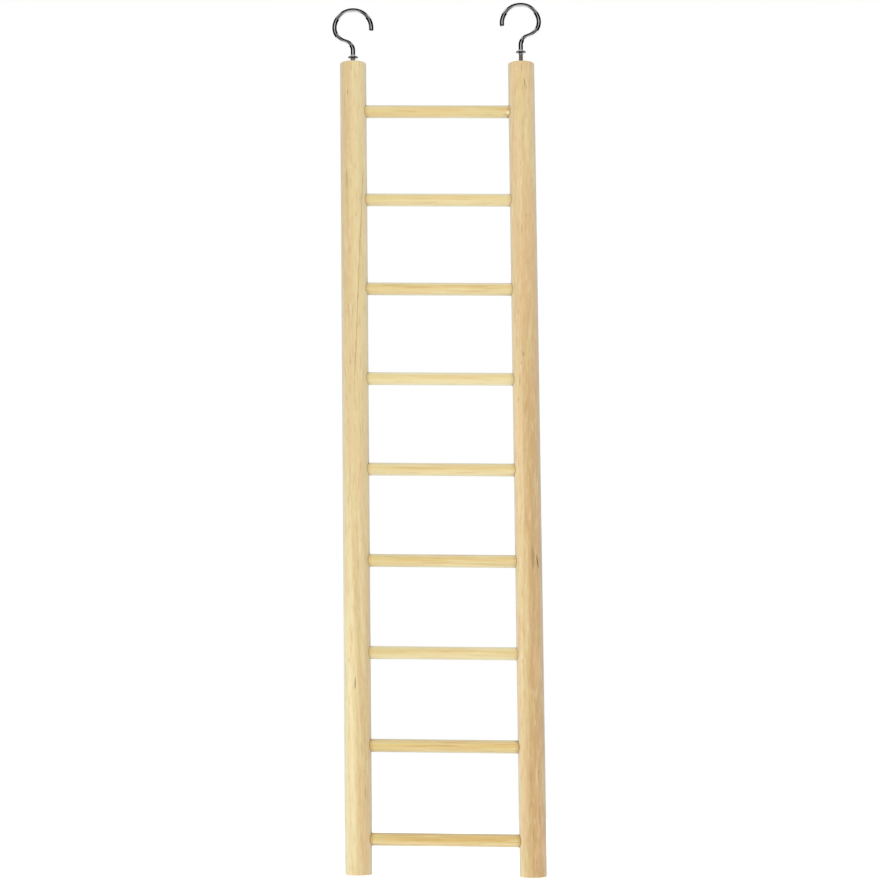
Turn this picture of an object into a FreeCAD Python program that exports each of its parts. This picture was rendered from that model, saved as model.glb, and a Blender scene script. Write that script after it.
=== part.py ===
import FreeCAD, Part
import math
import os

Vector = FreeCAD.Vector

# Bird ladder that hangs by a screw hook in the top of each rail. Millimetres, +Z up the rails,
# +X towards the right rail, -Y towards the viewer. The origin is midway between the rails'
# axes, level with the lower end of the right rail, which is the lowest point.

# Rails: round dowels, both alike
rail_length = 426.0
rail_diameter = 14.0
rail_spacing = 89.4       # between the rails' axes
rail_rim = 0.6             # bevel round the sawn ends
right_rail_drop = 1.9      # glued up slightly out of square: the right rail sits this much lower

# Rungs: thinner dowels, glued into blind sockets in the rails
rung_count = 9
rung_diameter = 6.8
lowest_rung_height = 18.2  # above each rail's own lower end
highest_rung_depth = 26.2  # below each rail's own top
socket_depth = 5.6         # from the rail's inner flank
socket_clearance = 0.05    # all round the rung
socket_end_gap = 0.3       # glue space between a rung's end and the socket's floor

# Hooks: bent wire with an upset collar and a wood screw, all in one piece
wire_diameter = 2.4
wire_sides = 10            # flats of the bent wire's section, which stand for its round
loop_inner_diameter = 17.3
loop_overrun = 8.0         # degrees that the loop runs on below its widest point, to the cut tip
tip_bevel = 0.25           # on the cut tip
loop_turn = 167.0          # degrees over the crown, from the mouth's widest point to the heel
heel_radius = 7.8          # of the tighter bend behind the loop, on the wire's centreline
run_slope = 21.0           # degrees below level of the short run from the heel to the neck
neck_radius = 4.9          # of the reverse bend into the shank, on the wire's centreline
shank_length = 2.8         # straight wire between the neck and the collar
collar_diameter = 5.4
collar_throat = 0.1        # how far the flare already stands out from the wire at its top
collar_rim = 0.35          # thickness at the collar's edge
collar_flare = 0.95        # height of the flared side above the rim
screw_diameter = 2.66      # over the thread's crests
screw_length = 16.0        # from the collar's underside to the point
screw_point = 3.2          # length of the tapered point
left_collar_height = 3.1   # collar's underside above the rail: the left screw is driven deeper
right_collar_height = 6.1
pilot_clearance = 0.05     # all round the screw
pilot_end_gap = 1.0        # below the screw's point

rail_radius = rail_diameter / 2
rung_radius = rung_diameter / 2
wire_radius = wire_diameter / 2
collar_radius = collar_diameter / 2
screw_radius = screw_diameter / 2
loop_radius = loop_inner_diameter / 2 + wire_radius
socket_floor = rail_radius - socket_depth
rung_pitch = (rail_length - lowest_rung_height - highest_rung_depth) / (rung_count - 1)
rail_bottoms = {-1: right_rail_drop, 1: 0.0}
collar_heights = {-1: left_collar_height, 1: right_collar_height}
side_names = {-1: "left", 1: "right"}


def rail_point(side, height):
    """Point on a rail's axis, at a height above that rail's own lower end. side: -1 left, 1 right."""
    return Vector(side * rail_spacing / 2, 0, rail_bottoms[side] + height)


def rung_height(index):
    return lowest_rung_height + index * rung_pitch


def rung_direction():
    """From the left rail's axis to the right one's, sloping with the drop of the right rail."""
    direction = rail_point(1, 0) - rail_point(-1, 0)
    return direction.normalize()


def socket(side, height):
    """The blind hole for one end of a rung, bored along the rung's own axis."""
    inwards = rung_direction() * -side
    floor = rail_point(side, height) + inwards * socket_floor
    radius = rung_radius + socket_clearance
    return Part.makeCylinder(radius, socket_depth + rail_radius, floor, inwards)


def pilot_hole(side):
    """The hole down the rail's axis that the hook's screw is driven into."""
    depth = screw_length - collar_heights[side] + pilot_end_gap
    floor = rail_point(side, rail_length - depth)
    radius = screw_radius + pilot_clearance
    return Part.makeCylinder(radius, depth + rail_rim, floor, Vector(0, 0, 1))


def rail(side):
    dowel = Part.makeCylinder(rail_radius, rail_length, rail_point(side, 0), Vector(0, 0, 1))
    sawn_edges = [edge for edge in dowel.Edges if edge.Closed]
    dowel = dowel.makeChamfer(rail_rim, sawn_edges)
    holes = [socket(side, rung_height(index)) for index in range(rung_count)]
    holes.append(pilot_hole(side))
    return dowel.cut(holes)


def rung(index):
    along = rung_direction()
    set_in = socket_floor + socket_end_gap
    start = rail_point(-1, rung_height(index)) + along * set_in
    end = rail_point(1, rung_height(index)) - along * set_in
    return Part.makeCylinder(rung_radius, start.distanceToPoint(end), start, along)


def polar(centre, radius, degrees, mouth):
    """Point on a circle in the hook's plane; 0 degrees is the side that the mouth opens to."""
    angle = math.radians(degrees)
    return centre + Vector(mouth * radius * math.cos(angle), 0, radius * math.sin(angle))


def wire_section(centre, outwards, radius):
    """The wire's outline across its length, its corners on the radius, the first one outwards."""
    corners = []
    for index in range(wire_sides):
        angle = index * 2 * math.pi / wire_sides
        to_side = Vector(0, radius * math.sin(angle), 0)
        corners.append(centre + outwards * (radius * math.cos(angle)) + to_side)
    return Part.makePolygon(corners + corners[:1])


def bent_wire(mouth, collar_top):
    """Loop, heel, run, neck and shank, swept in one. mouth: 1 opens to +X, -1 to -X.

    It is laid out round the loop's centre, with the shank right under that centre, and then
    lifted on to the collar.
    """
    loop_centre = Vector(0, 0, 0)
    tip = polar(loop_centre, loop_radius, -loop_overrun, mouth)
    crown = polar(loop_centre, loop_radius, 90, mouth)
    heel_start = polar(loop_centre, loop_radius, loop_turn, mouth)

    heel_turn = 270 - run_slope
    heel_centre = polar(loop_centre, loop_radius - heel_radius, loop_turn, mouth)
    heel_middle = polar(heel_centre, heel_radius, (loop_turn + heel_turn) / 2, mouth)
    run_start = polar(heel_centre, heel_radius, heel_turn, mouth)

    slope = math.radians(run_slope)
    neck_reach = neck_radius * (1 - math.sin(slope))
    run_length = (abs(run_start.x) - neck_reach) / math.cos(slope)
    run_end = polar(run_start, run_length, -run_slope, mouth)
    neck_centre = polar(run_end, neck_radius, heel_turn, mouth)
    neck_middle = polar(neck_centre, neck_radius, (90 - run_slope) / 2, mouth)
    neck_end = polar(neck_centre, neck_radius, 0, mouth)
    shank_end = neck_end - Vector(0, 0, shank_length + collar_top - collar_rim)

    path = Part.Wire([
        Part.Arc(tip, crown, heel_start).toShape(),
        Part.Arc(heel_start, heel_middle, run_start).toShape(),
        Part.makeLine(run_start, run_end),
        Part.Arc(run_end, neck_middle, neck_end).toShape(),
        Part.makeLine(neck_end, shank_end),
    ])
    outwards = (tip - loop_centre).normalize()
    section = wire_section(tip, outwards, wire_radius)
    wire = path.makePipe(Part.Face(section))

    along_tip = polar(Vector(0, 0, 0), 1, 90 - loop_overrun, mouth)
    cut_end = wire_section(tip - along_tip * tip_bevel, outwards, wire_radius - tip_bevel)
    wire = wire.fuse(Part.makeLoft([section, cut_end], True, True))
    wire.translate(Vector(0, 0, collar_rim - shank_end.z))
    return wire


def collar_and_screw(collar_top):
    """The upset collar and the screw, turned about the shank. z 0 is the collar's underside."""
    outline = [
        Vector(0, 0, collar_top),
        Vector(wire_radius + collar_throat, 0, collar_top),
        Vector(collar_radius, 0, collar_rim),
        Vector(collar_radius, 0, 0),
        Vector(screw_radius, 0, 0),
        Vector(screw_radius, 0, screw_point - screw_length),
        Vector(0, 0, -screw_length),
    ]
    profile = Part.Face(Part.makePolygon(outline + outline[:1]))
    return profile.revolve(Vector(0, 0, 0), Vector(0, 0, 1), 360)


def hook(side):
    """Each hook is turned so that its mouth faces the other rail's hook."""
    collar_top = collar_rim + collar_flare
    shape = bent_wire(-side, collar_top).fuse(collar_and_screw(collar_top))
    shape.translate(rail_point(side, rail_length + collar_heights[side]))
    return shape


def export(shape, name):
    solids = shape.Solids
    assert len(solids) == 1 and solids[0].isValid(), name
    solids[0].exportStep(os.path.join("parts", name + ".step"))
    print(name, round(solids[0].Volume, 1), "mm3")


os.makedirs("parts", exist_ok=True)
for side, side_name in side_names.items():
    export(rail(side), "rail_" + side_name)
    export(hook(side), "hook_" + side_name)
for index in range(rung_count):
    export(rung(index), "rung_" + str(index + 1))
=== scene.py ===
import bpy, math
from mathutils import Matrix, Vector


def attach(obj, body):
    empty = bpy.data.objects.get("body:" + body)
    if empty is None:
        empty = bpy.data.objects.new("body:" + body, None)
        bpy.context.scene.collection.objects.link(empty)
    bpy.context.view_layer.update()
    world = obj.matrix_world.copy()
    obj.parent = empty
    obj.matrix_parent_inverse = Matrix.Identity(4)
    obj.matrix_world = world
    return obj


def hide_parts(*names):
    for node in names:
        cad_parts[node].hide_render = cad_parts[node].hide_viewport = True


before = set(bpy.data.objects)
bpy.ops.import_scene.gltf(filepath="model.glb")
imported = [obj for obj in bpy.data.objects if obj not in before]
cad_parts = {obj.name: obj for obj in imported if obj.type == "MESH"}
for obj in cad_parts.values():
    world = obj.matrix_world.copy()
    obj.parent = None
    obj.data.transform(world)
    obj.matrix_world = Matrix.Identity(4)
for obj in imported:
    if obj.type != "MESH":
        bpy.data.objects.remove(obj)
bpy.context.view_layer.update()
print("frame loaded:", len(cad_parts), "nodes")

mm = 0.001

ladder = {                 # sizes of the CAD solids, in mm
    "railX": 44.7,
    "railLength": 426.0,
    "railRadius": 7.0,
    "rightRailDrop": 1.9,
    "rungCount": 9,
    "rungRadius": 3.4,
    "lowestRung": 18.2,
    "rungPitch": 47.7,
    "socketFloor": 1.4,    # from the rail's axis
    "socketClearance": 0.05,
    "socketEndGap": 0.3,
}


def srgb(red, green, blue):
    # an sRGB colour, 0-255 a channel, turned into the linear value that the shader takes
    def linear(value):
        value /= 255
        return value / 12.92 if value <= 0.04045 else ((value + 0.055) / 1.055) ** 2.4
    return (linear(red), linear(green), linear(blue), 1.0)


def upwards(distance):
    return Vector((0, 0, distance))


def railPoint(side, height):
    # side: -1 left, 1 right. height is above that rail's own lower end
    lift = ladder["rightRailDrop"] if side < 0 else 0.0
    return Vector((side * ladder["railX"], 0, lift + height))


alongRung = (railPoint(1, 0) - railPoint(-1, 0)).normalized()


class NodeKit:
    # short calls for building a node tree: a value may be a number, a colour or another node's socket
    def __init__(self, tree):
        self.tree = tree

    def node(self, kind, **settings):
        made = self.tree.nodes.new(kind)
        for name, value in settings.items():
            setattr(made, name, value)
        return made

    def feed(self, socket, value):
        if isinstance(value, bpy.types.NodeSocket):
            self.tree.links.new(value, socket)
        elif value is not None:
            socket.default_value = value

    def fed(self, kind, values, **settings):
        # a new node with values on its inputs, in their order or by name; returns its outputs
        made = self.node(kind, **settings)
        for which, value in values.items() if isinstance(values, dict) else enumerate(values):
            self.feed(made.inputs[which], value)
        return made.outputs

    def math(self, operation, a, b=None, c=None):
        return self.fed("ShaderNodeMath", (a, b, c), operation=operation)[0]

    def add(self, a, b):
        return self.math("ADD", a, b)

    def subtract(self, a, b):
        return self.math("SUBTRACT", a, b)

    def times(self, a, b):
        return self.math("MULTIPLY", a, b)

    def sumOfSquares(self, a, b):
        return self.add(self.times(a, a), self.times(b, b))

    def distance(self, a, b):
        return self.math("SQRT", self.sumOfSquares(a, b))

    def smooth(self, value, low, high):
        # 0 at low, 1 at high, eased between them; low may be above high
        span = {"Value": value, "From Min": low, "From Max": high}
        return self.fed("ShaderNodeMapRange", span, interpolation_type="SMOOTHSTEP")["Result"]

    def mix(self, factor, a, b):
        return self.fed("ShaderNodeMix", {"Factor": factor, 6: a, 7: b}, data_type="RGBA")[2]

    def combine(self, x, y, z):
        return self.fed("ShaderNodeCombineXYZ", (x, y, z))[0]

    def separate(self, vector):
        return self.fed("ShaderNodeSeparateXYZ", (vector,))

    def noise(self, vector, scale, detail=2.0, roughness=0.5):
        given = {"Vector": vector, "Scale": scale, "Detail": detail, "Roughness": roughness}
        return self.fed("ShaderNodeTexNoise", given)["Fac"]

    def shifted(self, value, noise, reach):
        # the value made ragged by a noise: by half the reach at most, to either side
        return self.math("MULTIPLY_ADD", self.subtract(noise, 0.5), reach, value)

    def bump(self, surface, height, strength, depth):
        given = {"Strength": strength, "Distance": depth * mm, "Height": height}
        self.feed(surface.inputs["Normal"], self.fed("ShaderNodeBump", given)["Normal"])


def emptied(holder):
    # a kit for the nodes of a new material or world, without those it starts with
    holder.use_nodes = True
    holder.node_tree.nodes.clear()
    return NodeKit(holder.node_tree)


def newMaterial(name):
    material = bpy.data.materials.new(name)
    kit = emptied(material)
    surface = kit.node("ShaderNodeBsdfPrincipled")
    kit.fed("ShaderNodeOutputMaterial", {"Surface": surface.outputs["BSDF"]})
    return material, kit, surface


def objectPlace(kit, centre):
    # the place on the object in mm, from a centre given in mm, and the normal there: X, Y and Z of each
    coordinates = kit.node("ShaderNodeTexCoord").outputs
    mapped = kit.fed("ShaderNodeMapping", {
        "Vector": coordinates["Object"],
        "Scale": (1 / mm, 1 / mm, 1 / mm),
        "Location": tuple(-c for c in centre),
    }, vector_type="POINT")[0]
    return kit.separate(mapped), kit.separate(coordinates["Normal"])


wood = {
    "sap": srgb(236, 220, 169),        # the palest wood
    "pinkSap": srgb(237, 212, 161),    # the palest wood of the right rail
    "heart": srgb(199, 164, 113),      # the deepest wood of the rails
    "amber": srgb(213, 179, 100),      # the deepest wood of the rungs
    "gold": srgb(220, 188, 108),       # the long streak in each rung
    # pale wood; also a painted highlight on the glue blob of rung 9
    "paleAndHighlight": srgb(246, 234, 200),
    "blush": srgb(229, 190, 141),
    "straw": srgb(222, 207, 146),
    "grain": srgb(184, 144, 92),
    "streak": srgb(168, 126, 76),
    "pore": srgb(140, 102, 60),
    # dark marks in the wood; also painted shade in the joints' corners of rungs 1 and 2
    "markAndShade": srgb(122, 88, 50),
    "glue": srgb(196, 154, 78),
    "seam": srgb(104, 78, 40),
    "sawn": srgb(208, 176, 120),
    "sawnRing": srgb(186, 149, 94),
    "driftScale": 0.011,      # per mm, of the grain's slow drift from side to side
    "ringsPerMm": 0.62,
    "ringLean": (0.83, 0.56), # shares of across and of depth in the year rings along the dowel
    "ringWobble": 1.6,
    "ringEdge": (0.30, 0.50),
    "pith": (14.1, 9.5),      # mm from the dowel's axis to the middle of the tree: across, depth
    "roughness": 0.50,
    "hairRoughness": 0.16,    # how much rougher the fibres are
    "endRoughness": 0.2,      # and the sawn ends
    "bump": 0.35,
    "bumpDepth": 0.12,        # mm
    "poreDepth": 0.8,         # against the fibres' 1
    "specular": 0.08,
    "sheen": 0.55,
    "sheenRoughness": 0.55,
    "sheenTint": (0.55, 0.80, 1.0, 1.0),
}

fibreLayers = {   # noise over the grain: scale per mm, detail, roughness, the share of that scale
    # along the grain, and how many seeds it is shifted by
    "bands": (0.42, 3.0, 0.55, 0.02, 10),
    "fine": (2.1, 3.0, 0.6, 0.035, 1),
    "flecks": (1.0, 2.0, 0.55, 0.12, 3),
    "hairs": (6.5, 3.0, 0.65, 0.06, 0),
}

figure = [        # what is laid over the plain tone: the layer, where it starts and is full, share, tone
    ("bands", 0.50, 0.72, 0.26, "grain"),
    ("bands", 0.46, 0.28, 0.36, "paleAndHighlight"),
    ("rings", 0.0, 1.0, 0.10, "grain"),
    ("fine", 0.52, 0.76, 0.28, "grain"),
    ("flecks", 0.54, 0.70, 0.50, "grain"),
    ("flecks", 0.44, 0.28, 0.42, "paleAndHighlight"),
    ("hairs", 0.56, 0.76, 0.18, "grain"),
    ("hairs", 0.46, 0.28, 0.14, "paleAndHighlight"),
]

tints = {         # wide clouds of pink and straw in the wood
    "scale": 0.22,
    "stretch": 0.14,
    "pink": (0.50, 0.66),
    "straw": (0.50, 0.34),
    "strawShare": 0.42,
}

pores = {         # short dark hairlines, each in its own long thin cell
    "scale": 0.55,
    "stretch": 0.16,
    "above": 0.72,          # only cells with a higher random value hold one
    "edge": (0.16, 0.05),
}

sawnEnd = {
    "facing": (0.55, 0.9),  # how far the surface has to face along the dowel
    "ringEdge": (0.22, 0.5),
    "ringWobble": 1.6,
    "wobbleScale": 0.35,
    "dotScale": 5.5,        # the open pores
    "dotEdge": (0.56, 0.70),
    "dotShare": 0.55,
}


def woodFibres(kit, across, depth, along, look):
    # across and depth run over the grain and along runs with it, all in mm
    drift = kit.noise(kit.combine(0.0, look["seed"], kit.times(along, wood["driftScale"])), 1.0, 1.0)
    drift = kit.times(kit.subtract(drift, 0.5), look["wander"])
    slanted = kit.add(kit.math("MULTIPLY_ADD", along, look["slant"], across), drift)
    fibres = {"slanted": slanted}
    for name, (scale, detail, roughness, stretch, shift) in fibreLayers.items():
        stretched = kit.math("MULTIPLY_ADD", along, stretch, look["seed"] * shift)
        fibres[name] = kit.noise(kit.combine(slanted, depth, stretched), scale, detail, roughness)
    # the year rings lie at a slant through the dowel
    acrossShare, depthShare = wood["ringLean"]
    rings = kit.math("MULTIPLY_ADD", slanted, acrossShare, kit.times(depth, depthShare))
    rings = kit.times(rings, wood["ringsPerMm"])
    rings = kit.add(rings, kit.times(fibres["bands"], wood["ringWobble"]))
    fibres["rings"] = kit.smooth(kit.math("PINGPONG", rings, 0.5), *wood["ringEdge"])
    return fibres


def laidOn(kit, colour, tone, value, edge, share):
    # the tone over the colour, from none of it to the share as the value passes over the edge
    return kit.mix(kit.times(kit.smooth(value, *edge), share), colour, wood[tone])


def grained(kit, colour, fibres, look, blush, across, depth, along):
    # the figure of the wood over its plain tone; returns the colour and where the open pores are
    tintPlace = kit.combine(fibres["slanted"], depth, kit.times(along, tints["stretch"]))
    tint = kit.noise(tintPlace, tints["scale"], 3.0, 0.6)
    colour = laidOn(kit, colour, "blush", tint, tints["pink"], blush)
    colour = laidOn(kit, colour, "straw", tint, tints["straw"], tints["strawShare"])
    for layer, low, high, share, tone in figure:
        colour = laidOn(kit, colour, tone, fibres[layer], (low, high), share * look["streaks"])

    cellPlace = kit.combine(across, depth, kit.times(along, pores["stretch"]))
    cells = kit.fed("ShaderNodeTexVoronoi", {"Vector": cellPlace, "Scale": pores["scale"]}, feature="F1")
    random = kit.fed("ShaderNodeSeparateColor", (cells["Color"],))[0]
    chosen = kit.math("GREATER_THAN", random, pores["above"])
    pore = kit.times(kit.smooth(cells["Distance"], *pores["edge"]), chosen)
    colour = kit.mix(kit.times(pore, look["pores"]), colour, wood["pore"])
    return colour, pore


def endGrain(kit, colour, axisNormal, across, depth, look):
    # sawn ends: darker, with the year rings cut across and the open pores as dots
    faceOn = kit.smooth(kit.math("ABSOLUTE", axisNormal), *sawnEnd["facing"])
    pithAcross, pithDepth = (kit.add(at, away) for at, away in zip((across, depth), wood["pith"]))
    fromPith = kit.distance(pithAcross, pithDepth)
    wobble = kit.noise(kit.combine(across, depth, look["seed"]), sawnEnd["wobbleScale"], 2.0)
    wobble = kit.times(wobble, sawnEnd["ringWobble"])
    rings = kit.math("PINGPONG", kit.add(kit.times(fromPith, wood["ringsPerMm"]), wobble), 0.5)
    sawn = kit.mix(kit.smooth(rings, *sawnEnd["ringEdge"]), wood["sawn"], wood["sawnRing"])
    dots = kit.noise(kit.combine(across, depth, 0.0), sawnEnd["dotScale"], 2.0, 0.7)
    sawn = laidOn(kit, sawn, "pore", dots, sawnEnd["dotEdge"], sawnEnd["dotShare"])
    return kit.mix(faceOn, colour, sawn), kit.times(faceOn, dots), faceOn


def setWoodSurface(kit, surface, colour, look, fibres, pore, dots, faceOn):
    kit.feed(surface.inputs["Base Color"], colour)
    roughness = kit.math("MULTIPLY_ADD", fibres["hairs"], wood["hairRoughness"], wood["roughness"])
    roughness = kit.math("MULTIPLY_ADD", faceOn, wood["endRoughness"], roughness)
    kit.feed(surface.inputs["Roughness"], roughness)
    surface.inputs["Specular IOR Level"].default_value = wood["specular"]
    surface.inputs["Sheen Weight"].default_value = wood["sheen"] * look["sheen"]
    surface.inputs["Sheen Roughness"].default_value = wood["sheenRoughness"]
    surface.inputs["Sheen Tint"].default_value = wood["sheenTint"]
    height = kit.math("MULTIPLY_ADD", fibres["fine"], 0.5, kit.times(fibres["hairs"], 0.5))
    for hollow in (pore, dots):
        height = kit.subtract(height, kit.times(hollow, wood["poreDepth"]))
    kit.bump(surface, height, wood["bump"], wood["bumpDepth"])


railLooks = {
    -1: {
        "name": "leftRailWood",
        "pale": "sap",
        "sapSide": (0.00, 0.66),    # share of the heart tone on the left side: at the foot, at the head
        "heartSide": (0.62, 0.32),  # and on the right side
        "turn": (90, 330),          # heights between which the foot's shares pass into the head's
        "border": (-0.50, 0.30),    # across the rail, in its radii, between the two sides
        "swell": 0.0,               # how far that border bows to the right, in mm, at mid height
        "blush": (0.26, 0.10),      # how far the wood is tinged with pink: at the foot, at the head
        "slant": 0.030,             # lean of the grain
        "wander": 5.0,              # how far it drifts from side to side, in mm
        "streaks": 0.55,
        "pores": 0.45,
        "seed": 3.1,
        "sheen": 1.0,
        "marks": [    # x from the axis, height, half width, length, lean to the right per mm up, strength
            (-2.6, 408.8, 0.22, 4.0, 0.05, 0.60),
            (-0.6, 422.2, 0.25, 5.0, 0.00, 0.35),
            (-3.4, 362.0, 0.80, 12.0, 0.02, 0.22),
            (-0.5, 291.9, 0.30, 9.0, 0.04, 0.25),
            (2.9, 228.7, 0.30, 10.0, 0.03, 0.25),
            (-0.7, 97.8, 0.36, 7.0, 0.03, 0.75),
            (4.1, 42.2, 0.30, 9.0, -0.03, 0.30),
        ],
        "line": {"slope": 0.0455, "start": -11.5, "from": 244, "to": 372, "width": 0.42, "strength": 0.50},
    },
    1: {
        "name": "rightRailWood",
        "pale": "pinkSap",
        "sapSide": (0.16, 0.46),
        "heartSide": (1.0, 0.55),
        "turn": (170, 400),
        "border": (-0.95, 0.05),
        "swell": 1.7,
        "blush": (0.46, 0.12),
        "slant": -0.012,
        "wander": 5.0,
        "streaks": 0.6,
        "pores": 0.5,
        "seed": 8.7,
        "sheen": 1.0,
        "marks": [
            (0.3, 422.3, 0.22, 4.0, -0.04, 0.50),
            (1.6, 414.2, 0.22, 4.5, -0.06, 0.70),
            (2.4, 411.5, 0.20, 3.0, -0.06, 0.70),
            (-1.0, 335.3, 0.45, 6.0, 0.03, 0.28),
            (-1.1, 269.2, 0.60, 3.4, 0.05, 0.36),
            (-3.1, 255.6, 0.35, 8.0, 0.02, 0.30),
            (-0.2, 240.8, 0.35, 8.0, 0.10, 0.28),
            (-0.8, 184.5, 0.60, 12.0, 0.02, 0.25),
            (2.2, 163.0, 1.00, 14.0, -0.02, 0.34),
            (4.55, 160.8, 0.36, 8.5, -0.14, 1.00),
            (-0.6, 50.4, 0.30, 6.0, 0.05, 0.30),
            (-0.7, 36.8, 0.22, 5.0, 0.04, 0.40),
            (3.7, 31.2, 0.40, 13.0, -0.02, 0.40),
            (0.2, 21.0, 0.30, 9.0, 0.06, 0.40),
            (1.9, 8.1, 0.22, 4.0, 0.05, 0.35),
        ],
        "line": None,
    },
}

railFigure = {                # alike on both rails; heights and distances in mm
    "swellHeight": 185,
    "swellReach": 170,
    "borderWander": {"fine": 1.8, "bands": 2.4},
    "lineFade": (25, 15),     # over which the long line starts and ends
    "lineCore": 0.1,
    "lineWobble": 1.4,
    "markEdge": (1.2, 0.2),   # squares of the distance from its middle, in half sizes of the mark
    "markWobble": 1.6,
    "stains": [               # round a socket's axis: tone, where it starts and is full, share
        ("glue", (4.6, 3.5), 0.30),
        ("seam", (3.6, 3.35), 0.30),
    ],
    "stainWobble": 1.4,
    "innerFlank": 2.0,        # from the rail's axis, where the side that holds the rungs starts
}


def railMaterial(side):
    look = railLooks[side]
    material, kit, surface = newMaterial(look["name"])
    (x, y, z), normal = objectPlace(kit, railPoint(side, 0))
    fibres = woodFibres(kit, x, y, z, look)
    onFront = kit.math("LESS_THAN", y, 0.0)

    # the plain tone: paler sapwood on one side, deeper heartwood on the other
    turned = kit.smooth(z, *look["turn"])

    def share(foot, head):
        return kit.math("MULTIPLY_ADD", turned, head - foot, foot)

    fromMiddle = kit.math("ABSOLUTE", kit.subtract(z, railFigure["swellHeight"]))
    swelling = kit.smooth(fromMiddle, railFigure["swellReach"], 0)
    border = kit.math("MULTIPLY_ADD", swelling, -look["swell"], x)
    for layer, reach in railFigure["borderWander"].items():
        border = kit.shifted(border, fibres[layer], reach)
    toHeart = kit.smooth(border, *(b * ladder["railRadius"] for b in look["border"]))
    sapShare = share(*look["sapSide"])
    moreHeart = kit.subtract(share(*look["heartSide"]), sapShare)
    heartShare = kit.math("MULTIPLY_ADD", moreHeart, toHeart, sapShare)
    colour = kit.mix(heartShare, wood[look["pale"]], wood["heart"])
    colour, pore = grained(kit, colour, fibres, look, share(*look["blush"]), x, y, z)

    line = look["line"]
    if line:   # one long slanting growth line on the front
        lineX = kit.math("MULTIPLY_ADD", z, line["slope"], line["start"])
        off = kit.subtract(kit.shifted(x, fibres["fine"], railFigure["lineWobble"]), lineX)
        drawn = kit.smooth(kit.math("ABSOLUTE", off), line["width"], railFigure["lineCore"])
        fadeIn, fadeOut = railFigure["lineFade"]
        drawn = kit.times(drawn, kit.smooth(z, line["from"], line["from"] + fadeIn))
        drawn = kit.times(drawn, kit.smooth(z, line["to"], line["to"] - fadeOut))
        drawn = kit.times(drawn, onFront)
        colour = kit.mix(kit.times(drawn, line["strength"]), colour, wood["streak"])

    for markX, height, width, length, lean, strength in look["marks"]:
        up = kit.subtract(z, height)
        dx = kit.math("MULTIPLY_ADD", up, -lean, kit.subtract(x, markX))
        dx = kit.math("DIVIDE", dx, width)
        dz = kit.math("DIVIDE", up, length / 2)
        reach = kit.shifted(kit.sumOfSquares(dx, dz), fibres["hairs"], railFigure["markWobble"])
        colour = laidOn(kit, colour, "markAndShade", reach, railFigure["markEdge"], kit.times(onFront, strength))

    # glue-darkened wood round each rung's socket, and the seam right at the rung
    pitch = ladder["rungPitch"]
    nearest = kit.add(kit.subtract(z, ladder["lowestRung"]), pitch / 2)
    nearest = kit.subtract(kit.math("FLOORED_MODULO", nearest, pitch), pitch / 2)
    away = kit.shifted(kit.distance(nearest, y), fibres["fine"], railFigure["stainWobble"])
    inner = kit.math("GREATER_THAN", kit.times(x, -side), railFigure["innerFlank"])
    for tone, edge, strength in railFigure["stains"]:
        colour = laidOn(kit, colour, tone, away, edge, kit.times(inner, strength))

    colour, dots, faceOn = endGrain(kit, colour, normal["Z"], x, y, look)
    setWoodSurface(kit, surface, colour, look, fibres, pore, dots, faceOn)
    return material


rungLooks = {   # share of the amber tone at the left end and at the right end, strength of the figure
    9: (0.60, 0.40, 0.60),
    8: (0.30, 0.12, 0.55),
    7: (0.48, 0.27, 0.80),
    6: (0.14, 0.04, 0.45),
    5: (0.28, 0.24, 0.70),
    4: (0.50, 0.32, 0.85),
    3: (0.24, 0.10, 0.50),
    2: (0.70, 0.66, 0.80),
    1: (0.85, 0.90, 0.95),
}


rungSpots = {   # glue, a painted highlight and painted shade at the ends: x from the middle, height from the axis, half width, half height, tone, strength
    # half height, tone, strength
    # rung 9: a blob of dried glue painted pale, partly a painted highlight, with dark spots round it
    9: [(37.3, -1.1, 0.75, 0.65, "paleAndHighlight", 0.90), (37.3, 0.7, 0.60, 0.35, "markAndShade", 0.50),
        (37.1, -2.9, 0.50, 0.55, "markAndShade", 0.60), (35.9, -2.2, 1.10, 0.35, "markAndShade", 0.35)],
    # rungs 2 and 1: dark spots in the corners where the rung meets the rail, painted shade in the gaps
    2: [(38.0, 2.9, 0.70, 0.45, "markAndShade", 0.85), (36.6, 2.9, 1.10, 0.25, "markAndShade", 0.40),
        (38.6, -0.6, 0.30, 1.20, "markAndShade", 0.60), (-38.0, 2.6, 0.50, 0.40, "markAndShade", 0.50)],
    1: [(38.7, 0.5, 0.35, 0.70, "markAndShade", 0.60), (38.7, -1.5, 0.35, 0.60, "markAndShade", 0.60),
        (38.1, -3.0, 0.70, 0.35, "markAndShade", 0.60), (37.9, 3.0, 0.50, 0.35, "markAndShade", 0.50)],
}


rungFigure = {               # alike on all rungs; distances in mm
    "seedStart": 1.3,
    "seedStep": 1.7,
    "slant": 0.012,
    "slantSpread": 5,        # makes the rungs' slants differ, to either side
    "wander": 1.5,
    "stretch": 0.4,          # its grain runs in longer streaks than a rail's
    "pores": 0.35,
    "blush": 0.15,
    "sheen": 1.7,
    "goldHeight": 0.7,       # of the long streak, above the rung's axis
    "goldSway": 3.0,
    "swayScale": 0.03,
    "goldEdge": (1.7, 0.3),
    "goldShare": 0.25,
    "goldWithStreaks": 0.35, # added where the figure is strong
    "glueWobble": 1.2,
    "glueReach": (2.2, 0.2), # out from the rail's face
    "glueShare": 0.35,
    "moreGlue": {1: 0.7, 2: 0.7},    # the two lowest rungs have more of it
    "seamReach": (0.45, 0.0),
    "seamShare": 0.40,
    "spotEdge": (1.3, 0.3),  # squares of the distance from its middle, in half sizes of the spot
}


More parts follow.
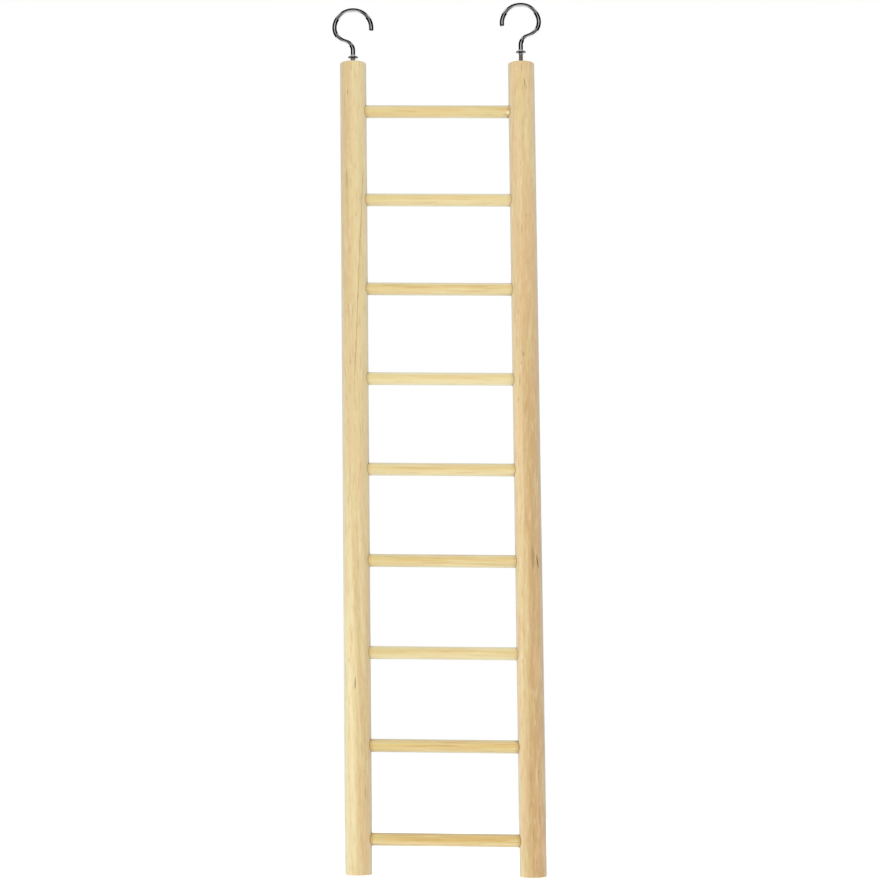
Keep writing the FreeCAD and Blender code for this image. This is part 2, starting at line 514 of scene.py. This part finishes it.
def rungMaterial(number):
    left, right, streaks = rungLooks[number]
    seed = rungFigure["seedStart"] + rungFigure["seedStep"] * number
    slant = rungFigure["slant"] * math.sin(seed * rungFigure["slantSpread"])
    look = {**rungFigure, "seed": seed, "slant": slant, "streaks": streaks}
    material, kit, surface = newMaterial("rungWood%d" % number)
    middle = (railPoint(-1, 0) + railPoint(1, 0)) / 2
    middle.z += ladder["lowestRung"] + (number - 1) * ladder["rungPitch"]
    (x, y, z), normal = objectPlace(kit, middle)
    z = kit.math("MULTIPLY_ADD", x, -alongRung.z / alongRung.x, z)   # level with the sloping axis
    fibres = woodFibres(kit, z, y, kit.times(x, look["stretch"]), look)
    toRight = kit.add(kit.math("DIVIDE", x, 2 * ladder["railX"]), 0.5)
    share = kit.math("MULTIPLY_ADD", toRight, right - left, left)
    colour = kit.mix(share, wood["sap"], wood["amber"])
    sway = kit.noise(kit.combine(kit.times(x, look["swayScale"]), seed, 0.0), 1.0, 2.0)
    off = kit.math("ABSOLUTE", kit.subtract(kit.shifted(z, sway, -look["goldSway"]), look["goldHeight"]))
    goldShare = look["goldShare"] + look["goldWithStreaks"] * streaks
    colour = laidOn(kit, colour, "gold", off, look["goldEdge"], goldShare)
    colour, pore = grained(kit, colour, fibres, look, look["blush"], z, y, x)

    # the seam at each end: amber where the glue soaked in, and darker right in the corner
    toAxis = kit.subtract(ladder["railX"], kit.math("ABSOLUTE", x))
    out = kit.subtract(kit.distance(toAxis, y), ladder["railRadius"])
    out = kit.shifted(out, fibres["fine"], look["glueWobble"])
    glueShare = look["moreGlue"].get(number, look["glueShare"])
    colour = laidOn(kit, colour, "glue", out, look["glueReach"], glueShare)
    colour = laidOn(kit, colour, "seam", out, look["seamReach"], look["seamShare"])
    onFront = kit.math("LESS_THAN", y, 0.0)
    # spots of glue, a painted highlight and painted shade, on the front only
    for spotX, spotZ, wide, high, tone, strength in rungSpots.get(number, []):
        dx = kit.math("DIVIDE", kit.subtract(x, spotX), wide)
        dz = kit.math("DIVIDE", kit.subtract(z, spotZ), high)
        seen = kit.times(onFront, strength)
        colour = laidOn(kit, colour, tone, kit.sumOfSquares(dx, dz), look["spotEdge"], seen)

    colour, dots, faceOn = endGrain(kit, colour, normal["X"], z, y, look)
    setWoodSurface(kit, surface, colour, look, fibres, pore, dots, faceOn)
    return material


def newTree(name, inputs):
    # inputs: the name and kind of each; the first socket is always the object's own geometry
    tree = bpy.data.node_groups.new(name, "GeometryNodeTree")
    for label, kind in {"Geometry": "Geometry", **inputs}.items():
        tree.interface.new_socket(label, in_out="INPUT", socket_type="NodeSocket" + kind)
    tree.interface.new_socket("Geometry", in_out="OUTPUT", socket_type="NodeSocketGeometry")
    kit = NodeKit(tree)
    return tree, kit, kit.node("NodeGroupInput").outputs, kit.node("NodeGroupOutput")


def swept(kit, curve, sides):
    # a ring of radius 1 swept along the curve, scaled at each point by the point's own radius in metres
    ring = kit.fed("GeometryNodeCurvePrimitiveCircle", {"Resolution": sides, "Radius": 1.0})["Curve"]
    return kit.fed("GeometryNodeCurveToMesh", {
        "Curve": curve,
        "Profile Curve": ring,
        "Scale": kit.node("GeometryNodeInputRadius").outputs[0],
        "Fill Caps": True,
    })["Mesh"]


def moved(kit, shape, offset, turn=None):
    given = {"Geometry": shape, "Translation": offset, "Rotation": turn}
    return kit.fed("GeometryNodeTransform", given)[0]


dowel = {               # alike on the rails and the rungs
    "rimSteps": 6,      # rings over the rounding of each end
    "wavesPerMetre": 90.0,
    "sharpAngle": 35,   # degrees between faces that still look smooth
}


def uneven(kit, mesh, amount, seed):
    # sanding leaves a dowel very slightly out of true; it only ever takes wood away
    noise = kit.fed("ShaderNodeTexNoise", {
        "Vector": kit.node("GeometryNodeInputPosition").outputs[0],
        "W": seed,
        "Scale": dowel["wavesPerMetre"],
        "Detail": 1.0,
    }, noise_dimensions="4D")["Fac"]
    normal = kit.node("GeometryNodeInputNormal").outputs[0]
    inwards = kit.times(kit.times(noise, amount), -1.0)
    push = kit.fed("ShaderNodeVectorMath", {0: normal, "Scale": inwards}, operation="SCALE")[0]
    return kit.fed("GeometryNodeSetPosition", {"Geometry": mesh, "Offset": push})[0]


def finishTree(kit, mesh, degrees, material, output):
    # smooth shading with sharp edges where faces meet at more than the angle, then the material
    smooth = kit.fed("GeometryNodeSetShadeSmooth", {"Geometry": mesh}, domain="FACE")[0]
    angle = kit.node("GeometryNodeInputMeshEdgeAngle").outputs["Unsigned Angle"]
    sharp = kit.fed("GeometryNodeSetShadeSmooth", {
        "Geometry": smooth,
        "Selection": kit.math("GREATER_THAN", angle, math.radians(degrees)),
        "Shade Smooth": False,
    }, domain="EDGE")[0]
    real = kit.fed("GeometryNodeRealizeInstances", (sharp,))[0]
    given = {"Geometry": real, "Material": material}
    kit.feed(output.inputs[0], kit.fed("GeometryNodeSetMaterial", given)[0])


def added(name, data):
    made = bpy.data.objects.new(name, data)
    bpy.context.scene.collection.objects.link(made)
    return made


def curveObject(name, splines):
    # splines: lists of (place in mm, radius in mm)
    curve = bpy.data.curves.new(name + "Path", "CURVE")
    curve.dimensions = "3D"
    for points in splines:
        spline = curve.splines.new("POLY")
        spline.points.add(len(points) - 1)
        for target, (place, radius) in zip(spline.points, points):
            target.co = (*(place * mm), 1.0)
            target.radius = radius * mm
    return added(name + "Path", curve)


def grown(name, path, tree, values):
    # runs the tree on the path, keeps the result as a plain mesh piece and removes the path
    modifier = path.modifiers.new(tree.name, "NODES")
    modifier.node_group = tree
    for item in tree.interface.items_tree:
        if item.item_type == "SOCKET" and item.in_out == "INPUT" and item.name in values:
            modifier[item.identifier] = values[item.name]
    bpy.context.view_layer.update()
    shown = path.evaluated_get(bpy.context.evaluated_depsgraph_get())
    mesh = bpy.data.meshes.new_from_object(shown)
    path.modifiers.remove(modifier)
    curve = path.data
    bpy.data.objects.remove(path)
    bpy.data.curves.remove(curve)
    mesh.name = name
    return added(name, mesh)


def dowelPath(start, end, radius, rim, spacing):
    # points along a dowel's axis: close together on the rounded rims, spacing apart between them
    length = (end - start).length
    along = (end - start) / length
    steps = dowel["rimSteps"]
    near = []
    for i in range(steps + 1):
        angle = math.pi / 2 * i / steps
        near.append((rim * (1 - math.cos(angle)), radius - rim + rim * math.sin(angle)))
    count = max(2, round((length - 2 * rim) / spacing))
    straight = [(rim + (length - 2 * rim) * i / count, radius) for i in range(1, count)]
    far = [(length - at, r) for at, r in reversed(near)]
    return [(start + along * at, r) for at, r in near + straight + far]


railPiece = {
    "rim": 0.7,            # rounding of the sawn ends
    "ringSpacing": 1.4,
    "sides": 72,
    "unevenness": 0.03,
    "seed": 2.0,
    "mouthWidth": 0.12,    # of the worn groove round each socket
    "mouthDepth": 0.25,
    "coreLength": 500.0,   # of the cylinder that stops that groove at its depth: past both ends
    "coreSides": 96,
    "socketSides": 48,
    "drillLength": 12.0,
    "screwLength": 16.0,
    "collarHeight": {-1: 3.1, 1: 6.1},
    "pilotEndGap": 1.0,
    "pilotRadius": 1.38,
    "pilotOverrun": 1.0,   # of its drill over the rail's top end
    "pilotSides": 32,
}
sideNames = {-1: "left", 1: "right"}


def railTree():
    tree, kit, inlet, output = newTree("drilledRail", {
        "Sides": "Int",
        "Unevenness": "Float",
        "Seed": "Float",
        "Sockets": "Int",
        "First socket": "Vector",
        "Socket pitch": "Vector",
        "Socket turn": "Rotation",
        "Socket radius": "Float",
        "Mouth radius": "Float",
        "Drill length": "Float",
        "Mouth core": "Float",
        "Rail middle": "Vector",
        "Pilot radius": "Float",
        "Pilot depth": "Float",
        "Pilot floor": "Vector",
        "Material": "Material",
    })
    rail = uneven(kit, swept(kit, inlet["Geometry"], inlet["Sides"]), inlet["Unevenness"], inlet["Seed"])

    def cylinder(radius, length, sides):
        given = {"Vertices": sides, "Radius": radius, "Depth": length}
        return kit.fed("GeometryNodeMeshCylinder", given)["Mesh"]

    def drill(radius, length, sides):
        # a mesh cylinder is centred, so it is moved up to start at its own origin
        return moved(kit, cylinder(radius, length, sides), kit.combine(0.0, 0.0, kit.times(length, 0.5)))

    def cutBy(shape, cutter):
        given = {"Mesh 1": shape, "Mesh 2": cutter}
        return kit.fed("GeometryNodeMeshBoolean", given, operation="DIFFERENCE", solver="EXACT")["Mesh"]

    row = kit.fed("GeometryNodeMeshLine", {
        "Count": inlet["Sockets"],
        "Start Location": inlet["First socket"],
        "Offset": inlet["Socket pitch"],
    }, mode="OFFSET")[0]

    def socketDrill(radius):
        placed = kit.fed("GeometryNodeInstanceOnPoints", {
            "Points": row,
            "Instance": drill(radius, inlet["Drill length"], railPiece["socketSides"]),
            "Rotation": inlet["Socket turn"],
        })[0]
        return kit.fed("GeometryNodeRealizeInstances", (placed,))[0]

    core = cylinder(inlet["Mouth core"], railPiece["coreLength"] * mm, railPiece["coreSides"])
    mouths = cutBy(socketDrill(inlet["Mouth radius"]), moved(kit, core, inlet["Rail middle"]))
    rail = cutBy(rail, socketDrill(inlet["Socket radius"]))
    rail = cutBy(rail, mouths)
    pilot = drill(inlet["Pilot radius"], inlet["Pilot depth"], railPiece["pilotSides"])
    rail = cutBy(rail, moved(kit, pilot, inlet["Pilot floor"]))
    finishTree(kit, rail, dowel["sharpAngle"], inlet["Material"], output)
    return tree


railShape = railTree()
rails = {}
for side, sideName in sideNames.items():
    low = railPoint(side, 0)
    high = railPoint(side, ladder["railLength"])
    points = dowelPath(low, high, ladder["railRadius"], railPiece["rim"], railPiece["ringSpacing"])
    inwards = alongRung * -side
    first = railPoint(side, ladder["lowestRung"]) + inwards * ladder["socketFloor"]
    depth = railPiece["screwLength"] - railPiece["collarHeight"][side] + railPiece["pilotEndGap"]
    rails[side] = grown("railPiece_" + sideName, curveObject("rail_" + sideName, [points]), railShape, {
        "Sides": railPiece["sides"],
        "Unevenness": railPiece["unevenness"] * mm,
        "Seed": railPiece["seed"] + side,
        "Sockets": ladder["rungCount"],
        "First socket": first * mm,
        "Socket pitch": upwards(ladder["rungPitch"]) * mm,
        "Socket turn": upwards(1).rotation_difference(inwards).to_euler(),
        "Socket radius": (ladder["rungRadius"] + ladder["socketClearance"]) * mm,
        "Mouth radius": (ladder["rungRadius"] + railPiece["mouthWidth"]) * mm,
        "Drill length": railPiece["drillLength"] * mm,
        "Mouth core": (ladder["railRadius"] - railPiece["mouthDepth"]) * mm,
        "Rail middle": railPoint(side, ladder["railLength"] / 2) * mm,
        "Pilot radius": railPiece["pilotRadius"] * mm,
        "Pilot depth": (depth + railPiece["pilotOverrun"]) * mm,
        "Pilot floor": (high - upwards(depth)) * mm,
        "Material": railMaterial(side),
    })
    print("rail", sideName, len(rails[side].data.polygons), "faces")


rungPiece = {
    "rim": 0.4,
    "ringSpacing": 1.5,
    "sides": 48,
    "unevenness": 0.03,
}


def rungTree():
    tree, kit, inlet, output = newTree("rung", {
        "Sides": "Int",
        "Unevenness": "Float",
        "Seed": "Float",
        "Material": "Material",
    })
    rung = uneven(kit, swept(kit, inlet["Geometry"], inlet["Sides"]), inlet["Unevenness"], inlet["Seed"])
    finishTree(kit, rung, dowel["sharpAngle"], inlet["Material"], output)
    return tree


rungShape = rungTree()
rungs = {}
for number in range(1, ladder["rungCount"] + 1):
    height = ladder["lowestRung"] + (number - 1) * ladder["rungPitch"]
    setIn = alongRung * (ladder["socketFloor"] + ladder["socketEndGap"])
    points = dowelPath(railPoint(-1, height) + setIn, railPoint(1, height) - setIn,
                       ladder["rungRadius"], rungPiece["rim"], rungPiece["ringSpacing"])
    rungs[number] = grown("rungPiece_%d" % number, curveObject("rung_%d" % number, [points]), rungShape, {
        "Sides": rungPiece["sides"],
        "Unevenness": rungPiece["unevenness"] * mm,
        "Seed": number * rungFigure["seedStep"],
        "Material": rungMaterial(number),
    })
print("rungs:", len(rungs))


hookPiece = {
    "wireRadius": 1.2,
    "loopRadius": 9.85,        # bends are measured on the wire's centreline
    "loopOverrun": 8.0,        # degrees below the mouth's widest point, to the cut tip
    "loopTurn": 167.0,         # degrees over the crown, to the heel
    "heelRadius": 7.8,
    "runSlope": 21.0,          # degrees below level, from the heel to the neck
    "neckRadius": 4.9,
    "shankLength": 2.8,
    "shankSunk": 0.3,          # the wire's end lies hidden in the collar
    "tipBevel": 0.25,
    "tipRounding": ((0.0, 0.76), (0.35, 0.89), (0.75, 0.97)),   # share of the bevel, of the radius
    "collarRadius": 2.7,
    "collarRim": 0.35,
    "collarFlare": 0.95,
    "stemRadius": 1.06,        # at the root of the thread
    "crestHeight": 0.27,
    "threadPitch": 1.38,
    "screwLength": 16.0,
    "screwPoint": 3.2,
    "threadGap": 0.5,          # plain stem between the collar and the thread
    "finePoint": (0.15, 0.12),   # radius and crest height of the thread at the very point
    "sides": 28,
    "loopSteps": 76,
    "heelSteps": 36,
    "neckSteps": 30,
    "sharpAngle": 40,
    "bright": srgb(214, 214, 216),
    "dull": srgb(198, 197, 197),
    # dark: bare steel at the sheared tip, and painted shade under the collar
    "bareAndShade": srgb(34, 33, 32),
    "cloudScale": 0.55,        # both per mm
    "scratchScale": 7.0,
    "roughness": 0.01,
    "scratchRoughness": 0.04,
    "bareAndShadeRoughness": 0.25,
    "satinRoughness": 0.4,
    "satinMetal": 0.3,         # how metallic the satin flare still looks
    "satinMiddle": 0.8,        # of the flare, above the collar's underside
    "threadStart": (-0.1, -0.3),   # heights against the collar's underside
    "threadSatin": 0.10,
    "facesUp": (0.2, 0.4),     # the normal's upward share, where a face starts to count and is full
    "facesDown": (-0.6, -0.85),
    "softEdge": 0.05,
    "bump": 0.05,
    "bumpDepth": 0.02,
}


def hookTree():
    tree, kit, inlet, output = newTree("screwHook", {
        "Sides": "Int",
        "Thread foot": "Vector",
        "Thread length": "Float",
        "Thread turns": "Float",
        "Thread radius": "Float",
        "Crest height": "Float",
        "Point length": "Float",
        "Point turns": "Float",
        "Material": "Material",
    })

    def thread(length, turns, lowRadius, highRadius, lowCrest, highCrest):
        # a square ridge set on its corner, wound up a right-hand spiral
        spiral = kit.fed("GeometryNodeCurveSpiral", {
            "Reverse": True,
            "Resolution": hookPiece["sides"],
            "Rotations": turns,
            "Start Radius": lowRadius,
            "End Radius": highRadius,
            "Height": length,
        })[0]
        upright = kit.fed("GeometryNodeSetCurveNormal", {"Curve": spiral}, mode="Z_UP")[0]
        along = kit.node("GeometryNodeSplineParameter").outputs["Factor"]
        growth = kit.subtract(highCrest, lowCrest)
        size = kit.math("MULTIPLY_ADD", growth, along, lowCrest)
        return swept(kit, kit.fed("GeometryNodeSetCurveRadius", {"Curve": upright, "Radius": size})[0], 4)

    crest = inlet["Crest height"]
    radius = inlet["Thread radius"]
    shaft = thread(inlet["Thread length"], inlet["Thread turns"], radius, radius, crest, crest)
    fineRadius, fineCrest = (size * mm for size in hookPiece["finePoint"])
    point = thread(inlet["Point length"], inlet["Point turns"], fineRadius, radius, fineCrest, crest)
    pointHeight = kit.combine(0.0, 0.0, inlet["Point length"])
    below = kit.fed("ShaderNodeVectorMath", (inlet["Thread foot"], pointHeight), operation="SUBTRACT")[0]
    backTurn = kit.combine(0.0, 0.0, kit.times(inlet["Point turns"], -2 * math.pi))   # the threads meet
    whole = kit.node("GeometryNodeJoinGeometry")
    for part in (moved(kit, point, below, backTurn), moved(kit, shaft, inlet["Thread foot"]),
                 swept(kit, inlet["Geometry"], inlet["Sides"])):
        kit.tree.links.new(part, whole.inputs[0])
    finishTree(kit, whole.outputs[0], hookPiece["sharpAngle"], inlet["Material"], output)
    return tree


def platingMaterial(side, foot, tip):
    # foot: the collar's underside. tip: the middle of the wire's cut end. Both in mm
    material, kit, surface = newMaterial(sideNames[side] + "Plating")
    (x, y, z), normal = objectPlace(kit, foot)
    place = kit.combine(x, y, z)
    cloud = kit.noise(place, hookPiece["cloudScale"], 3.0, 0.6)
    scratch = kit.noise(place, hookPiece["scratchScale"], 4.0, 0.7)
    colour = kit.mix(cloud, hookPiece["bright"], hookPiece["dull"])

    def near(point, reach):
        gap = kit.fed("ShaderNodeVectorMath", (place, tuple(point)), operation="DISTANCE")["Value"]
        return kit.smooth(gap, reach + hookPiece["softEdge"], reach)

    # the sheared tip stays dull, the plating is thin there; the collar's underside is painted dark and
    # dull as painted shade under the collar
    facesDown = kit.smooth(normal["Z"], *hookPiece["facesDown"])
    # painted shade: the downward faces under the collar are painted dark
    shadedUnderside = kit.times(facesDown, near(upwards(0), hookPiece["collarRadius"] + 0.2))
    bareAndShade = kit.math("MAXIMUM", near(tip - foot, hookPiece["wireRadius"] + 0.02), shadedUnderside)
    # the upset collar's flare is satin, not mirror bright, and the thread a little duller too
    facesUp = kit.smooth(normal["Z"], *hookPiece["facesUp"])
    satin = kit.times(near(upwards(hookPiece["satinMiddle"]), hookPiece["collarRadius"]), facesUp)
    onThread = kit.times(kit.smooth(z, *hookPiece["threadStart"]), hookPiece["threadSatin"])
    satin = kit.math("MAXIMUM", satin, onThread)
    # the dark colour is bare steel at the tip and painted shade on the collar's underside
    kit.feed(surface.inputs["Base Color"], kit.mix(bareAndShade, colour, hookPiece["bareAndShade"]))
    metallic = kit.math("MULTIPLY_ADD", satin, hookPiece["satinMetal"] - 1, 1.0)
    kit.feed(surface.inputs["Metallic"], metallic)
    roughness = hookPiece["roughness"]
    for where, more in ((scratch, "scratchRoughness"), (satin, "satinRoughness"), (bareAndShade, "bareAndShadeRoughness")):
        roughness = kit.math("MULTIPLY_ADD", where, hookPiece[more], roughness)
    kit.feed(surface.inputs["Roughness"], roughness)
    kit.bump(surface, scratch, hookPiece["bump"], hookPiece["bumpDepth"])
    return material


def hookSplines(foot, mouth):
    # foot: the collar's underside on the rail's axis. mouth: the side that the loop opens to
    h = hookPiece

    def polar(centre, radius, degrees):
        angle = math.radians(degrees)
        return centre + Vector((mouth * math.cos(angle), 0, math.sin(angle))) * radius

    def arc(centre, radius, start, end, steps):
        return [polar(centre, radius, start + (end - start) * i / steps) for i in range(steps + 1)]

    # laid out round the loop's centre, with the shank right under it
    middle = upwards(0)
    heelTurn = 270 - h["runSlope"]
    heelCentre = polar(middle, h["loopRadius"] - h["heelRadius"], h["loopTurn"])
    runStart = polar(heelCentre, h["heelRadius"], heelTurn)
    slope = math.radians(h["runSlope"])
    runLength = (abs(runStart.x) - h["neckRadius"] * (1 - math.sin(slope))) / math.cos(slope)
    runEnd = polar(runStart, runLength, -h["runSlope"])
    neckCentre = polar(runEnd, h["neckRadius"], heelTurn)
    neckEnd = polar(neckCentre, h["neckRadius"], 0)

    tip = -h["loopOverrun"]
    bevelled = math.degrees(h["tipBevel"] / h["loopRadius"])
    wire = [(polar(middle, h["loopRadius"], tip + bevelled * share), h["wireRadius"] * radius)
            for share, radius in h["tipRounding"]]
    bends = arc(middle, h["loopRadius"], tip + bevelled, h["loopTurn"], h["loopSteps"])
    bends += arc(heelCentre, h["heelRadius"], h["loopTurn"], heelTurn, h["heelSteps"])[1:]
    bends += [runStart.lerp(runEnd, share) for share in (0.33, 0.66)]
    bends += arc(neckCentre, h["neckRadius"], 90 - h["runSlope"], 0, h["neckSteps"])
    wire += [(place, h["wireRadius"]) for place in bends]
    wire.append((neckEnd - upwards(h["shankLength"] + h["shankSunk"]), h["wireRadius"]))

    # the collar and the stem as one turned shape: (height above the collar's underside, radius)
    rim = h["collarRim"]
    top = rim + h["collarFlare"]
    edge = h["collarRadius"]
    end = -h["screwLength"]
    outline = [
        (top + 0.12, 1.19), (top, 1.24), (top - 0.10, 1.38),              # the flare leaves the wire
        (rim + 0.03, edge - 0.08), (rim - 0.06, edge),                    # over the rim
        (0.08, edge), (0.0, edge - 0.09), (0.001, 1.25),                  # and under it
        (-0.35, 1.08), (-0.6, h["stemRadius"]),                           # into the thread's root
        (end + h["screwPoint"], h["stemRadius"]), (end + 0.1, 0.1), (end, 0.02),
    ]
    stem = [(foot + upwards(z), radius) for z, radius in outline]
    lift = foot + upwards(top + h["shankLength"] - neckEnd.z)
    return [[(place + lift, radius) for place, radius in wire], stem]


hookShape = hookTree()
hooks = {}
for side, sideName in sideNames.items():
    foot = railPoint(side, ladder["railLength"] + railPiece["collarHeight"][side])
    shaftLength = hookPiece["screwLength"] - hookPiece["screwPoint"]
    threaded = shaftLength - hookPiece["threadGap"]
    splines = hookSplines(foot, -side)
    path = curveObject("hook_" + sideName, splines)
    hooks[side] = grown("hookPiece_" + sideName, path, hookShape, {
        "Sides": hookPiece["sides"],
        "Thread foot": (foot - upwards(shaftLength)) * mm,
        "Thread length": threaded * mm,
        "Thread turns": threaded / hookPiece["threadPitch"],
        "Thread radius": hookPiece["stemRadius"] * mm,
        "Crest height": hookPiece["crestHeight"] * mm,
        "Point length": hookPiece["screwPoint"] * mm,
        "Point turns": hookPiece["screwPoint"] / hookPiece["threadPitch"],
        "Material": platingMaterial(side, foot, splines[0][0][0]),
    })
    print("hook", sideName, len(hooks[side].data.polygons), "faces")


for side, sideName in sideNames.items():
    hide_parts("rail_" + sideName)
    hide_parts("hook_" + sideName)
for number, piece in rungs.items():
    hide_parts("rung_%d" % number)
for piece in (*rails.values(), *hooks.values(), *rungs.values()):
    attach(piece, "root")


studio = {                     # lengths in metres but for the camera's place
    "floorHeight": -0.30,
    "floorWidth": 4.0,
    "floorFront": -0.45,       # the sweep starts just in front of the object
    "floorBack": 6.0,
    "floorPaper": 0.85,
    "floorGlow": 0.75,         # lifts the sweep to white where the camera sees it
    "floorBounce": 0.45,       # what the lit sweep adds to the light from below
    "surroundings": 0.85,      # strength of the light from all round
    "keyPlace": (-0.35, -1.30, 0.62),
    "keySize": 0.9,
    "keyPower": 4.8,
    "cameraPlace": (37.012, -1194.085, 94.589),    # mm
    "cameraForward": (-0.031497, 0.993528, 0.10913),
    "cameraUp": (0.014481, -0.108719, 0.993967),
    "lens": 94.2,
}


roomSeen = {   # by bright metal. Each edge says where it starts and is full, in the direction's x, y or z
    "frontSides": (0.42, 0.32),
    "frontBands": [            # from each edge down, and how bright: a bright band, a dark, a paler one
        ((0.34, 0.28), 0.95),
        ((0.20, 0.14), 0.07),
        ((-0.06, -0.14), 0.76),
    ],
    "lowPaper": ((0.32, 0.42), (-0.60, -0.68)),    # white paper far down on each side
    "softbox": ((0.44, 0.52), (0.65, 0.72)),       # and a white softbox high up; between them is black
    "behind": (0.46, 0.54),    # white paper behind
    "behindSlant": 0.9,        # how fast that gives way to black towards the sides
}


def grey(level):
    return (level, level, level, 1)


def buildFloor():
    x = studio["floorWidth"] / 2
    near = studio["floorFront"]
    far = studio["floorBack"]
    z = studio["floorHeight"]
    mesh = bpy.data.meshes.new("floor")
    mesh.from_pydata([(-x, near, z), (x, near, z), (x, far, z), (-x, far, z)], [], [(0, 1, 2, 3)])
    material = bpy.data.materials.new("whiteSweep")
    kit = emptied(material)
    paper = kit.fed("ShaderNodeBsdfDiffuse", {"Color": grey(studio["floorPaper"])})[0]

    def glowing(strength):
        glow = kit.fed("ShaderNodeEmission", {"Strength": strength})[0]
        return kit.fed("ShaderNodeAddShader", (paper, glow))[0]

    rays = kit.node("ShaderNodeLightPath").outputs
    seen = kit.math("MAXIMUM", rays["Is Camera Ray"], rays["Is Glossy Ray"])
    seen = kit.math("MAXIMUM", seen, rays["Is Transmission Ray"])
    sweep = (seen, glowing(studio["floorBounce"]), glowing(studio["floorGlow"]))
    kit.fed("ShaderNodeOutputMaterial", kit.fed("ShaderNodeMixShader", sweep))
    mesh.materials.append(material)
    added("floor", mesh)


def buildWorld():
    world = bpy.data.worlds.new("studio")
    kit = emptied(world)
    rays = kit.node("ShaderNodeLightPath").outputs

    def background(colour, strength):
        return kit.fed("ShaderNodeBackground", {"Color": colour, "Strength": strength})[0]

    x, y, z = kit.separate(kit.node("ShaderNodeTexCoord").outputs["Generated"])
    sideways = kit.math("ABSOLUTE", x)
    front = kit.smooth(sideways, *roomSeen["frontSides"])
    room = grey(0)
    for edge, level in roomSeen["frontBands"]:
        room = kit.mix(kit.times(front, kit.smooth(z, *edge)), room, grey(level))
    for sideEdge, heightEdge in (roomSeen["lowPaper"], roomSeen["softbox"]):
        share = kit.times(kit.smooth(sideways, *sideEdge), kit.smooth(z, *heightEdge))
        room = kit.mix(share, room, grey(1))
    back = kit.math("MULTIPLY_ADD", sideways, -roomSeen["behindSlant"], y)
    room = kit.mix(kit.smooth(back, *roomSeen["behind"]), room, grey(1))
    seenByGloss = kit.math("MAXIMUM", rays["Is Glossy Ray"], rays["Is Transmission Ray"])
    light = background(grey(1), studio["surroundings"])
    unseen = kit.fed("ShaderNodeMixShader", (seenByGloss, light, background(room, 1.0)))[0]
    whole = (rays["Is Camera Ray"], unseen, background(grey(1), 1.0))
    kit.fed("ShaderNodeOutputWorld", kit.fed("ShaderNodeMixShader", whole))
    bpy.context.scene.world = world


def buildKey():
    lamp = bpy.data.lights.new("key", "AREA")
    lamp.shape = "DISK"
    lamp.size = studio["keySize"]
    lamp.energy = studio["keyPower"]
    key = added("key", lamp)
    key.location = studio["keyPlace"]
    middle = upwards(ladder["railLength"] / 2 * mm)
    key.rotation_euler = (middle - Vector(studio["keyPlace"])).to_track_quat("-Z", "Y").to_euler()
    key.visible_camera = False
    key.visible_glossy = False


def buildCamera():
    lens = bpy.data.cameras.new("photoCamera")
    lens.lens = studio["lens"]
    lens.sensor_width = 36.0
    lens.clip_start = 0.01
    lens.clip_end = 50.0
    camera = added("photoCamera", lens)
    forward = Vector(studio["cameraForward"]).normalized()
    right = forward.cross(Vector(studio["cameraUp"])).normalized()
    up = right.cross(forward)
    turn = Matrix((right, up, -forward)).transposed().to_4x4()
    camera.matrix_world = Matrix.Translation(Vector(studio["cameraPlace"]) * mm) @ turn
    bpy.context.scene.camera = camera


buildFloor()
buildWorld()
buildKey()
buildCamera()
bpy.context.scene.view_settings.view_transform = "Standard"
print("studio ready")
